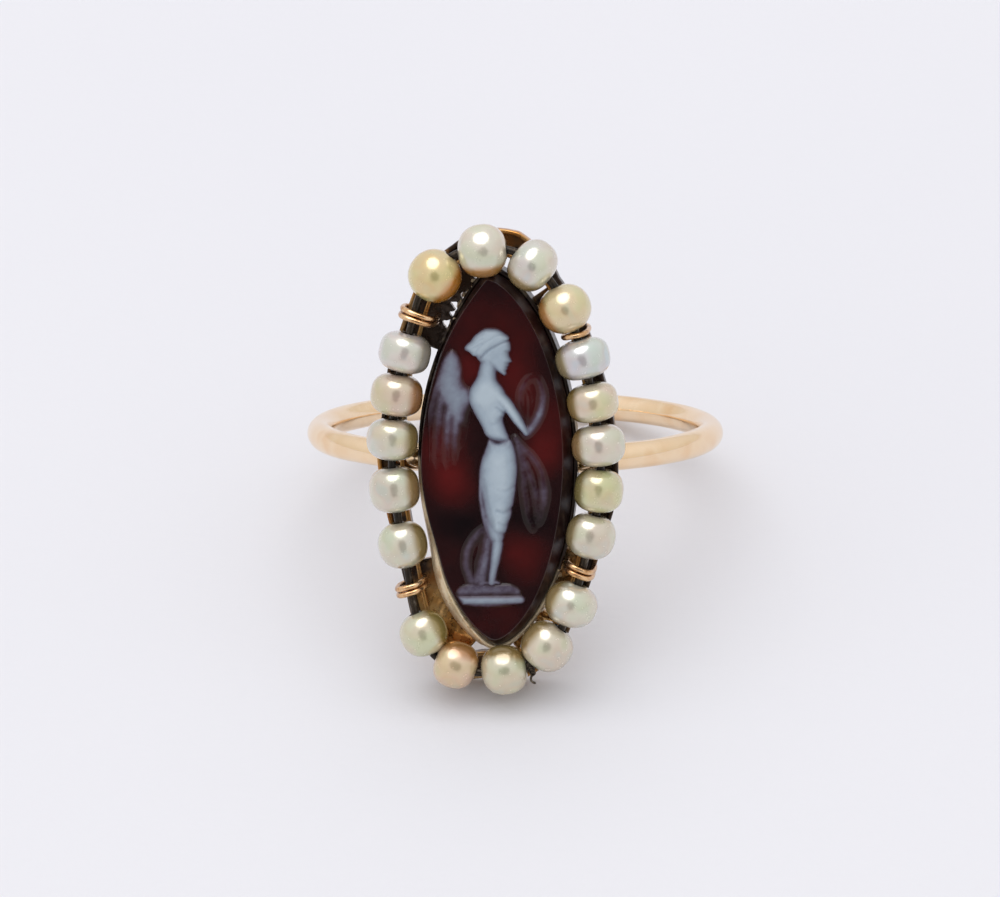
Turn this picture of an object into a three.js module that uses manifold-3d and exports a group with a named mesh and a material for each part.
// A cameo ring that lies on its side, in millimetres, +Z up.
// A plain gold wire shank carries a long open head. Nineteen drilled pearls on a dark wire
// surround a navette cameo in a thin collet, and four wire bindings tie the string to its rail.
// The ring is drawn with its shank level, then leant back on its rail's lower end and its shank.
import * as THREE from "three";
import { mergeVertices } from "three/addons/utils/BufferGeometryUtils.js";
import Module from "manifold-3d";

const wasm = await Module();
wasm.setup();

// Shank
const fingerDiameter = 16.9;
const shankThickness = 1.24;
const headBackInset = 0.35; // the head's flat back stands this far inside the finger circle

// Cameo: the sides are measured from the line between its tips, seen from the front
const stoneHalfHeight = 8.45;
const stoneLeft = 3.12;
const stoneRight = 3.62;
const leftFullness = 0.92; // 1 is a pointed lens, 0.5 an ellipse
const rightFullness = 0.62;
const stoneLean = THREE.MathUtils.degToRad(1.2); // its top leans to the left
const stoneShift = { across: -0.3, up: 0.13 };
const girdleThickness = 0.5;
const bevelRise = 0.65;
const bevelWidth = 0.42;
const reliefRise = 0.5;
const reliefGap = 0.03;

// Collet
const colletWall = 0.16;
const stoneClearance = 0.05;
const ledgeWidth = 0.3;
const ledgeTop = 0.72; // all heights in the head are measured from its flat back
const ledgeThickness = 0.35;
const tipGrowth = 1.5; // a wall of even thickness grows this much faster at the pointed tips

// Rail, webs and bindings
const railWidth = 1.24;
const railOffset = 0.2; // its middle lies this far outside the string
const railHeight = 0.7;
const railFloor = 0.26;
const railFlange = 0.2;
const webBottom = 0.12;
const webThickness = 0.5;
const bindingWire = 0.25;
const bindingClearance = 0.06;
const bindingPitch = 0.29;

// Pearls and their wire
const pearlWidth = 2.38; // across the wire
const pearlGap = 0.06;
const pearlSideGap = 0.1; // from the stone's side to the pearls
const pearlTipOverlap = 0.09; // how far the pearls reach in front of the stone's tips
const stringFill = 0.838; // the share of the wire that the pearls cover
const stringHeight = 2.0;
const stringWire = 0.38;
const boreClearance = 0.07;

// How finely round forms are cut
const bisections = 30;
const outlineSteps = 56;
const railSteps = 84;
const shankSteps = 60;
const shankSides = 10;
const pearlSides = 12;
const wireSides = 6;
const bindingSides = 5;

// The string's route, clockwise from the top, in shares of its half width and half height
const route = [
  [-0.15, 1.02],
  [0.37, 0.93],
  [0.64, 0.75],
  [0.84, 0.47],
  [0.95, 0.2],
  [0.985, -0.1],
  [0.9, -0.33],
  [0.71, -0.66],
  [0.49, -0.86],
  [0.15, -0.976],
  [-0.14, -0.962],
  [-0.41, -0.976],
  [-0.71, -0.8],
  [-0.9, -0.42],
  [-1.0, -0.11],
  [-1.01, 0.12],
  [-0.9, 0.5],
  [-0.61, 0.88],
];

// The pearls in order: across is a share of pearlWidth, along a share of the wire that pearls
// cover, and spare a share of the free wire, which follows the pearl
const pearls = [
  { across: 1.04, along: 0.95, spare: 0.37 },
  { across: 1.04, along: 0.86, spare: 0.0 },
  { across: 1.02, along: 0.94, spare: 0.63 },
  { across: 1.06, along: 0.77, spare: 0.0 },
  { across: 1.0, along: 0.76, spare: 0.0 },
  { across: 1.04, along: 0.82, spare: 0.0 },
  { across: 0.96, along: 0.85, spare: 0.0 },
  { across: 0.96, along: 0.87, spare: 1.35 },
  { across: 1.02, along: 0.86, spare: 0.0 },
  { across: 1.02, along: 0.92, spare: 0.0 },
  { across: 0.97, along: 0.9, spare: 0.2 },
  { across: 0.93, along: 0.85, spare: 0.0 },
  { across: 0.93, along: 0.88, spare: 2.1 },
  { across: 0.96, along: 0.91, spare: 0.76 },
  { across: 0.98, along: 0.89, spare: 0.1 },
  { across: 1.0, along: 0.81, spare: 0.0 },
  { across: 1.02, along: 0.82, spare: 0.0 },
  { across: 1.01, along: 0.77, spare: 1.77 },
  { across: 1.04, along: 1.01, spare: 0.17 },
];

// Each binding lies in the gap after a pearl, at a share of that gap
const bindings = [
  { after: 17, share: 0.5, turns: 2 },
  { after: 2, share: 0.5, turns: 1 },
  { after: 12, share: 0.58, turns: 2 },
  { after: 7, share: 0.55, turns: 2 },
];

// Each web runs along a stretch of the route, in shares of its length from the top
const webs = [
  { from: 0.875, to: 0.975 },
  { from: 0.08, to: 0.115 },
  { from: 0.352, to: 0.392 },
  { from: 0.452, to: 0.478 },
  { from: 0.545, to: 0.655 },
];

// The carved figure: places and half sizes are shares of the stone's mean half width (x, wide)
// and half height (z, tall), turn is in degrees clockwise, rise is a share of reliefRise
const figure = [
  { part: "head", x: 0.09, z: 0.585, wide: 0.24, tall: 0.125, turn: 8, rise: 0.95 },
  { part: "knot of hair", x: -0.15, z: 0.6, wide: 0.15, tall: 0.05, turn: -10, rise: 0.6 },
  { part: "neck", x: -0.03, z: 0.44, wide: 0.12, tall: 0.09, turn: 0, rise: 0.7 },
  { part: "chest", x: -0.05, z: 0.3, wide: 0.26, tall: 0.14, turn: -14, rise: 1 },
  { part: "waist", x: 0.13, z: 0.13, wide: 0.18, tall: 0.11, turn: -6, rise: 0.85 },
  { part: "upper arm", x: 0.29, z: 0.25, wide: 0.13, tall: 0.15, turn: -31, rise: 0.9 },
  { part: "forearm", x: 0.51, z: 0.17, wide: 0.08, tall: 0.08, turn: 20, rise: 0.6 },
  { part: "hips", x: 0.1, z: -0.08, wide: 0.26, tall: 0.18, turn: 0, rise: 0.95 },
  { part: "skirt", x: 0.1, z: -0.26, wide: 0.17, tall: 0.22, turn: -2, rise: 0.85 },
  { part: "front leg", x: 0.02, z: -0.54, wide: 0.08, tall: 0.13, turn: 3, rise: 0.7 },
  { part: "back leg", x: -0.12, z: -0.54, wide: 0.06, tall: 0.14, turn: 2, rise: 0.5 },
  { part: "wing top", x: -0.51, z: 0.49, wide: 0.18, tall: 0.1, turn: 10, rise: 0.6 },
  { part: "wing feathers", x: -0.55, z: 0.27, wide: 0.18, tall: 0.25, turn: 4, rise: 0.4 },
  { part: "veil behind the back", x: -0.36, z: 0.28, wide: 0.3, tall: 0.15, turn: 0, rise: 0.3 },
  { part: "loose drapery", x: 0.55, z: -0.13, wide: 0.2, tall: 0.24, turn: -12, rise: 0.3 },
  { part: "veil before the skirt", x: 0.38, z: -0.06, wide: 0.28, tall: 0.13, turn: -10, rise: 0.25 },
  { part: "plinth top", x: -0.07, z: -0.7, wide: 0.42, tall: 0.055, turn: 0, rise: 0.5 },
];
const figureRings = [
  { part: "wreath", x: 0.57, z: 0.29, wide: 0.14, tall: 0.15, band: 0.07, turn: 4, rise: 0.5 },
  { part: "drapery loop", x: -0.27, z: -0.51, wide: 0.12, tall: 0.13, band: 0.06, turn: 0, rise: 0.4 },
];
const plinthBar = { x: -0.06, z: -0.76, wide: 0.45, tall: 0.022, rise: 0.55 };

// Sizes that follow from these
const shankRadius = (fingerDiameter + shankThickness) / 2;
const headBack = fingerDiameter / 2 - headBackInset;
const girdleBottom = ledgeTop + stoneClearance;
const girdleTop = girdleBottom + girdleThickness;
const tableTop = girdleTop + bevelRise;
const stoneHalfWidth = (stoneLeft + stoneRight) / 2;
const colletInner = stoneClearance;
const colletOuter = colletInner + colletWall;
const stringHalfWidth = stoneHalfWidth + pearlSideGap + pearlWidth / 2;
const stringHalfHeight = stoneHalfHeight - pearlTipOverlap + pearlWidth / 2;

// A point of the head: across and up as seen from the front, and its height above the flat back
function headPoint(across, height, up) {
  return new THREE.Vector3(across, -headBack - height, up);
}

// A closed mesh over rings of points. The rings join up into a hoop, or flat ends close them.
function skin(rings, joinsUp) {
  const count = rings[0].length;
  const points = rings.flat();
  const faces = [];
  const spans = joinsUp ? rings.length : rings.length - 1;
  for (let i = 0; i < spans; i++) {
    const here = i * count;
    const there = ((i + 1) % rings.length) * count;
    for (let j = 0; j < count; j++) {
      const next = (j + 1) % count;
      faces.push(here + j, here + next, there + next, here + j, there + next, there + j);
    }
  }
  if (!joinsUp) {
    for (const [start, flip] of [[0, true], [(rings.length - 1) * count, false]]) {
      const middle = new THREE.Vector3();
      for (let j = 0; j < count; j++) middle.add(points[start + j]);
      points.push(middle.divideScalar(count));
      const hub = points.length - 1;
      for (let j = 0; j < count; j++) {
        const a = start + j;
        const b = start + ((j + 1) % count);
        if (flip) faces.push(hub, b, a);
        else faces.push(hub, a, b);
      }
    }
  }
  const closed = new THREE.BufferGeometry().setFromPoints(points).setIndex(faces);
  return facesInwards(closed) ? closed.setIndex(faces.reverse()) : closed;
}

// Whether a closed mesh is inside out, from the volume that its triangles enclose
function facesInwards(geometry) {
  const position = geometry.getAttribute("position");
  const index = geometry.getIndex().array;
  const a = new THREE.Vector3();
  const b = new THREE.Vector3();
  const c = new THREE.Vector3();
  let sum = 0;
  for (let i = 0; i < index.length; i += 3) {
    a.fromBufferAttribute(position, index[i]);
    b.fromBufferAttribute(position, index[i + 1]);
    c.fromBufferAttribute(position, index[i + 2]);
    sum += a.dot(b.cross(c));
  }
  return sum < 0;
}

// A geometry as a solid for joins and cuts
function toSolid(geometry) {
  const bare = geometry.clone();
  bare.deleteAttribute("normal");
  bare.deleteAttribute("uv");
  const merged = mergeVertices(bare, 1e-5);
  const triVerts = new Uint32Array(merged.getIndex().array);
  if (facesInwards(merged)) triVerts.reverse();
  const vertProperties = new Float32Array(merged.getAttribute("position").array);
  return new wasm.Manifold(new wasm.Mesh({ numProp: 3, vertProperties, triVerts }));
}

function toGeometry(solid) {
  const { vertProperties, triVerts } = solid.getMesh();
  const geometry = new THREE.BufferGeometry();
  geometry.setAttribute("position", new THREE.BufferAttribute(vertProperties, 3));
  geometry.setIndex(new THREE.BufferAttribute(triVerts, 1));
  return geometry;
}

function joined(solids) {
  return solids.reduce((whole, piece) => whole.add(piece));
}

// The navette's outline, grown outwards and clockwise from its top tip
function navette(grow, height) {
  const halfHeight = stoneHalfHeight + grow * tipGrowth;
  const ring = [];
  for (let i = 0; i < outlineSteps; i++) {
    const angle = (i / outlineSteps) * 2 * Math.PI;
    const onRight = i <= outlineSteps / 2;
    const side = onRight ? stoneRight + grow : -stoneLeft - grow;
    const fullness = onRight ? rightFullness : leftFullness;
    const across = side * Math.pow(Math.sin(angle) ** 2, fullness);
    ring.push(inStone(across, height, halfHeight * Math.cos(angle)));
  }
  return ring;
}

// A point given along the stone's own leaning axis
function inStone(across, height, up) {
  return headPoint(
    stoneShift.across + across * Math.cos(stoneLean) - up * Math.sin(stoneLean),
    height,
    stoneShift.up + across * Math.sin(stoneLean) + up * Math.cos(stoneLean),
  );
}

// The string's route and what follows it
const routeCurve = new THREE.CatmullRomCurve3(
  route.map(([across, up]) => new THREE.Vector3(across * stringHalfWidth, 0, up * stringHalfHeight)),
  true,
);
routeCurve.arcLengthDivisions = 1200;
const routeLength = routeCurve.getLength();

function routeShare(length) {
  const share = (length / routeLength) % 1;
  return share < 0 ? share + 1 : share;
}

function routeAt(length) {
  return routeCurve.getPointAt(routeShare(length));
}

// A point beside the route: so far outwards from it, at a height
function besideRoute(length, outwards, height) {
  const point = routeAt(length);
  const tangent = routeCurve.getTangentAt(routeShare(length));
  return headPoint(point.x - tangent.z * outwards, height, point.z + tangent.x * outwards);
}

function bisect(low, high, isTooLow) {
  for (let i = 0; i < bisections; i++) {
    const middle = (low + high) / 2;
    if (isTooLow(middle)) low = middle;
    else high = middle;
  }
  return (low + high) / 2;
}

const alongUnit = (routeLength * stringFill) / pearls.reduce((sum, pearl) => sum + pearl.along, 0);

// The pearls' places along the route when each gap takes its share of so much spare wire
function walk(spareScale) {
  const places = [0];
  pearls.forEach((pearl, i) => {
    const next = pearls[(i + 1) % pearls.length];
    const reach = ((pearl.along + next.along) * alongUnit) / 2 + pearlGap + spareScale * pearl.spare;
    const start = places[i];
    const from = routeAt(start);
    places.push(bisect(start, start + reach * 1.5, (s) => routeAt(s).distanceTo(from) < reach));
  });
  return places;
}

function placePearls() {
  const spareScale = bisect(-1, 3, (scale) => walk(scale)[pearls.length] < routeLength);
  const places = walk(spareScale);
  return pearls.map((pearl, i) => {
    const length = pearl.along * alongUnit;
    const centre = besideRoute(places[i], 0, stringHeight);
    const reach = length / 2;
    const axis = besideRoute(places[i] + reach, 0, stringHeight)
      .sub(besideRoute(places[i] - reach, 0, stringHeight))
      .normalize();
    return { centre, axis, length, width: pearl.across * pearlWidth, place: places[i] };
  });
}
// The wire's bends, one or two in each gap, and each pearl on the straight wire between them
function stringPearls() {
  const loose = placePearls();
  const gaps = loose.map((pearl, i) => {
    const next = loose[(i + 1) % loose.length];
    const leaves = pearl.centre.clone().addScaledVector(pearl.axis, (pearl.length + pearlGap) / 2);
    const enters = next.centre.clone().addScaledVector(next.axis, -(next.length + pearlGap) / 2);
    return leaves.distanceTo(enters) > 2 * stringWire ? [leaves, enters] : [leaves.lerp(enters, 0.5)];
  });
  const strung = loose.map((pearl, i) => {
    const start = gaps[(i + gaps.length - 1) % gaps.length].at(-1);
    const end = gaps[i][0];
    return { ...pearl, centre: start.clone().lerp(end, 0.5), axis: end.clone().sub(start).normalize() };
  });
  return { strung, bends: gaps.flat() };
}
const { strung, bends } = stringPearls();

// A pearl: an oblate bead with a bore along its axis
function pearlGeometry(pearl) {
  const bore = stringWire / 2 + boreClearance;
  const rim = Math.acos(bore / (pearl.width / 2));
  const bands = 7;
  const profile = [];
  for (let i = 0; i <= bands; i++) {
    const angle = rim * ((2 * i) / bands - 1);
    const out = (pearl.width / 2) * Math.cos(angle);
    profile.push(new THREE.Vector2(out, (pearl.length / 2) * Math.sin(angle)));
  }
  profile.push(profile[0].clone());
  return new THREE.LatheGeometry(profile, pearlSides);
}

// The dark wire, mitred at each bend
function pearlWireGeometry() {
  const outOfHead = new THREE.Vector3(0, -1, 0);
  const rings = bends.map((bend, i) => {
    const before = bends[(i + bends.length - 1) % bends.length];
    const after = bends[(i + 1) % bends.length];
    const ahead = after.clone().sub(bend).normalize().add(bend.clone().sub(before).normalize()).normalize();
    const sideways = new THREE.Vector3().crossVectors(outOfHead, ahead);
    const ring = [];
    for (let j = 0; j < wireSides; j++) {
      const angle = (j / wireSides) * 2 * Math.PI;
      ring.push(
        bend
          .clone()
          .addScaledVector(sideways, (stringWire / 2) * Math.cos(angle))
          .addScaledVector(outOfHead, (stringWire / 2) * Math.sin(angle)),
      );
    }
    return ring;
  });
  return skin(rings, true);
}

// The gutter-shaped rail behind the pearls
function railSolid() {
  const outside = railOffset + railWidth / 2;
  const inside = railOffset - railWidth / 2;
  const section = [
    [inside, 0],
    [outside, 0],
    [outside, railHeight],
    [outside - railFlange, railHeight],
    [outside - railFlange, railFloor],
    [inside + railFlange, railFloor],
    [inside + railFlange, railHeight],
    [inside, railHeight],
  ];
  const rings = [];
  for (let i = 0; i < railSteps; i++) {
    const length = (i / railSteps) * routeLength;
    rings.push(section.map(([outwards, height]) => besideRoute(length, outwards, height)));
  }
  return toSolid(skin(rings, true));
}

// The thin wall round the stone, with the ledge that carries it
function colletSolid() {
  return toSolid(
    skin(
      [
        navette(colletOuter, 0),
        navette(colletOuter, girdleTop),
        navette(colletInner, girdleTop),
        navette(colletInner, ledgeTop),
        navette(-ledgeWidth, ledgeTop),
        navette(-ledgeWidth, ledgeTop - ledgeThickness),
        navette(colletInner, ledgeTop - ledgeThickness),
        navette(colletInner, 0),
      ],
      true,
    ),
  );
}

// The point of the collet's wall that lies nearest to a point of the route
function nearestOnCollet(point) {
  const wall = navette(colletInner + colletWall / 2, 0);
  return wall.reduce((best, other) => (other.distanceTo(point) < best.distanceTo(point) ? other : best));
}

// A flat plate between the rail and the collet
function webSolid(web) {
  const steps = 8;
  const outer = [];
  const inner = [];
  for (let i = 0; i <= steps; i++) {
    const length = routeLength * (web.from + ((web.to - web.from) * i) / steps);
    const point = besideRoute(length, 0, 0);
    outer.push(point);
    inner.push(nearestOnCollet(point));
  }
  const rim = outer.concat(inner.reverse());
  const shape = new THREE.Shape(rim.map((point) => new THREE.Vector2(point.x, point.z)));
  const plate = new THREE.ExtrudeGeometry(shape, { depth: webThickness, bevelEnabled: false });
  plate.rotateX(Math.PI / 2);
  plate.translate(0, -headBack - webBottom, 0);
  return toSolid(plate);
}

// The path of one binding: round the rail and the wire, and a little along them with each turn
const bindingHalfWidth = railWidth / 2 + bindingClearance + bindingWire / 2;
const bindingLow = -bindingClearance - bindingWire / 2;
const bindingHigh = stringHeight + (stringWire + bindingWire) / 2 + bindingClearance;

function bindingPlace(binding) {
  const pearl = strung[binding.after];
  const next = strung[(binding.after + 1) % strung.length];
  const gapStart = pearl.place + pearl.length / 2;
  const gapEnd = next.place + (next.place < pearl.place ? routeLength : 0) - next.length / 2;
  return gapStart + (gapEnd - gapStart) * binding.share;
}

class BindingCurve extends THREE.Curve {
  constructor(binding) {
    super();
    this.turns = binding.turns;
    this.place = bindingPlace(binding);
  }

  getPoint(share) {
    const turned = share * (this.turns - 0.12);
    const angle = turned * 2 * Math.PI;
    const squared = 0.45;
    const across = Math.sign(Math.sin(angle)) * Math.pow(Math.abs(Math.sin(angle)), squared);
    const up = Math.sign(Math.cos(angle)) * Math.pow(Math.abs(Math.cos(angle)), squared);
    const middle = (bindingHigh + bindingLow) / 2;
    const length = this.place + (turned - this.turns / 2) * bindingPitch;
    const outwards = railOffset + across * bindingHalfWidth;
    return besideRoute(length, outwards, middle - (up * (bindingHigh - bindingLow)) / 2);
  }
}

function bindingGeometry(binding) {
  const section = new THREE.Shape();
  for (let i = 0; i < bindingSides; i++) {
    const angle = (i / bindingSides) * 2 * Math.PI;
    const x = (bindingWire / 2) * Math.cos(angle);
    const y = (bindingWire / 2) * Math.sin(angle);
    if (i === 0) section.moveTo(x, y);
    else section.lineTo(x, y);
  }
  return new THREE.ExtrudeGeometry(section, {
    steps: 18 * binding.turns,
    extrudePath: new BindingCurve(binding),
    bevelEnabled: false,
  });
}

// The slot that a binding passes through in a web
function bindingSlot(binding) {
  const length = binding.turns * bindingPitch + bindingWire + 2 * bindingClearance;
  const box = new THREE.BoxGeometry(
    2 * (bindingHalfWidth + bindingWire / 2 + bindingClearance),
    2 * (webBottom + webThickness + bindingWire),
    length,
  );
  const place = bindingPlace(binding);
  const ahead = routeCurve.getTangentAt(routeShare(place));
  box.rotateY(Math.atan2(ahead.x, ahead.z));
  const middle = besideRoute(place, railOffset, 0);
  box.translate(middle.x, middle.y, middle.z);
  return toSolid(box);
}

// The shank: a round wire bent to the finger, with both ends in the collet's wall
function shankSolid() {
  const start = Math.asin((stoneRight + colletOuter + stoneShift.across) / shankRadius);
  const end = 2 * Math.PI - Math.asin((stoneLeft + colletOuter - stoneShift.across) / shankRadius);
  const rings = [];
  for (let i = 0; i <= shankSteps; i++) {
    const angle = start + ((end - start) * i) / shankSteps;
    const ring = [];
    for (let j = 0; j < shankSides; j++) {
      const round = (j / shankSides) * 2 * Math.PI;
      const radius = shankRadius + (shankThickness / 2) * Math.cos(round);
      const up = (shankThickness / 2) * Math.sin(round);
      ring.push(new THREE.Vector3(radius * Math.sin(angle), -radius * Math.cos(angle), up));
    }
    rings.push(ring);
  }
  return toSolid(skin(rings, false));
}

// All the soldered gold, cleared where the stone and the bindings go
function goldGeometry() {
  const plates = joined(webs.map(webSolid)).subtract(joined(bindings.map(bindingSlot)));
  const roomFloor = navette(colletInner, ledgeTop);
  const stoneRoom = toSolid(skin([roomFloor, navette(colletInner, stringHeight)], false));
  return toGeometry(joined([railSolid(), colletSolid(), plates, shankSolid()]).subtract(stoneRoom));
}

// The stone: a straight girdle, then the polished bevel up to the flat table
function stoneGeometry() {
  return skin(
    [navette(0, girdleBottom), navette(0, girdleTop), navette(-bevelWidth, tableTop)],
    false,
  );
}

// A rounded form of the relief, half sunk in the table
function reliefForm(form) {
  const ball = new THREE.SphereGeometry(1, 10, 8);
  ball.scale(form.wide * stoneHalfWidth, form.rise * reliefRise, form.tall * stoneHalfHeight);
  return placeForm(ball, form);
}

function placeForm(geometry, form) {
  geometry.rotateY(THREE.MathUtils.degToRad(form.turn));
  const middle = inStone(form.x * stoneHalfWidth, tableTop, form.z * stoneHalfHeight);
  geometry.translate(middle.x, middle.y, middle.z);
  return toSolid(geometry);
}

// An oval ring of the relief
function reliefRing(form) {
  const rings = [];
  const steps = 18;
  for (let i = 0; i < steps; i++) {
    const angle = (i / steps) * 2 * Math.PI;
    const ring = [];
    for (let j = 0; j < wireSides; j++) {
      const round = (j / wireSides) * 2 * Math.PI;
      const out = form.band * stoneHalfWidth * Math.cos(round);
      const across = (form.wide * stoneHalfWidth + out) * Math.sin(angle);
      const up = (form.tall * stoneHalfHeight + out) * Math.cos(angle);
      ring.push(new THREE.Vector3(across, form.rise * reliefRise * Math.sin(round), up));
    }
    rings.push(ring);
  }
  return placeForm(skin(rings, true), form);
}

function reliefGeometry() {
  const bar = new THREE.BoxGeometry(
    2 * plinthBar.wide * stoneHalfWidth,
    2 * plinthBar.rise * reliefRise,
    2 * plinthBar.tall * stoneHalfHeight,
  );
  const carved = joined([
    ...figure.map(reliefForm),
    ...figureRings.map(reliefRing),
    placeForm(bar, { ...plinthBar, turn: 0 }),
  ]);
  const buried = new THREE.BoxGeometry(4 * stoneHalfWidth, tableTop + reliefGap, 3 * stoneHalfHeight);
  buried.translate(0, -headBack - (tableTop + reliefGap) / 2, 0);
  return toGeometry(carved.subtract(toSolid(buried)));
}

// Materials
const gold = new THREE.MeshStandardMaterial({ color: 0xd8b07c, roughness: 0.28, metalness: 1 });
const bindingGold = new THREE.MeshStandardMaterial({ color: 0xd9a87c, roughness: 0.32, metalness: 1 });
const darkWire = new THREE.MeshStandardMaterial({ color: 0x3a332c, roughness: 0.45, metalness: 0.9 });
const agate = new THREE.MeshStandardMaterial({ color: 0x2e0d10, roughness: 0.12, metalness: 0 });
const whiteLayer = new THREE.MeshStandardMaterial({ color: 0x9faab5, roughness: 0.4, metalness: 0 });
const nacre = new THREE.MeshStandardMaterial({ color: 0xe2e0cf, roughness: 0.22, metalness: 0 });

function mesh(name, geometry, material) {
  const made = new THREE.Mesh(geometry, material);
  made.name = name;
  return made;
}

// The assembly, with the shank level
const ring = new THREE.Group();
ring.add(mesh("gold_mount", goldGeometry(), gold));
ring.add(mesh("cameo_stone", stoneGeometry(), agate));
ring.add(mesh("cameo_relief", reliefGeometry(), whiteLayer));
ring.add(mesh("pearl_wire", pearlWireGeometry(), darkWire));
strung.forEach((pearl, i) => {
  const bead = mesh(`pearl_${String(i + 1).padStart(2, "0")}`, pearlGeometry(pearl), nacre);
  bead.position.copy(pearl.centre);
  bead.quaternion.setFromUnitVectors(new THREE.Vector3(0, 1, 0), pearl.axis);
  ring.add(bead);
});
bindings.forEach((binding, i) => {
  ring.add(mesh(`binding_${i + 1}`, bindingGeometry(binding), bindingGold));
});

// How it lies: a backward lean and a sideways roll, sought between these angles
const leastLean = THREE.MathUtils.degToRad(5);
const mostLean = THREE.MathUtils.degToRad(65);
const mostRoll = THREE.MathUtils.degToRad(18);

function leaning(tilt, roll) {
  return new THREE.Euler(-tilt, roll, 0);
}

// The point that would touch down first at a lean and roll, and how far down it reaches
function lowest(points, tilt, roll) {
  const turn = new THREE.Quaternion().setFromEuler(leaning(tilt, roll)).invert();
  const down = new THREE.Vector3(0, 0, -1).applyQuaternion(turn);
  let best = { depth: -Infinity };
  for (const point of points) {
    const depth = point.dot(down);
    if (depth > best.depth) best = { depth, point };
  }
  return best;
}

const corners = ring.children.flatMap((piece) => {
  piece.updateMatrix();
  const position = piece.geometry.getAttribute("position");
  return Array.from({ length: position.count }, (_, i) =>
    new THREE.Vector3().fromBufferAttribute(position, i).applyMatrix4(piece.matrix),
  );
});
const headCorners = corners.filter((point) => point.y < -headBack && point.z < 0);
const shankCorners = corners.filter((point) => point.y > 0);

// The lean at which the shank's back and the head's lower end touch the same level surface
function tiltAt(roll) {
  return bisect(leastLean, mostLean, (tilt) => {
    return lowest(shankCorners, tilt, roll).depth < lowest(headCorners, tilt, roll).depth;
  });
}

// The roll at which the head touches on both sides of the ring's middle
const roll = bisect(-mostRoll, mostRoll, (angle) => lowest(headCorners, tiltAt(angle), angle).point.x < 0);
const resting = new THREE.Group();
ring.rotation.copy(leaning(tiltAt(roll), roll));
resting.add(ring);
resting.updateMatrixWorld(true);
const bounds = new THREE.Box3().setFromObject(resting, true);
ring.position.set(-(bounds.min.x + bounds.max.x) / 2, -(bounds.min.y + bounds.max.y) / 2, -bounds.min.z);

export default resting;
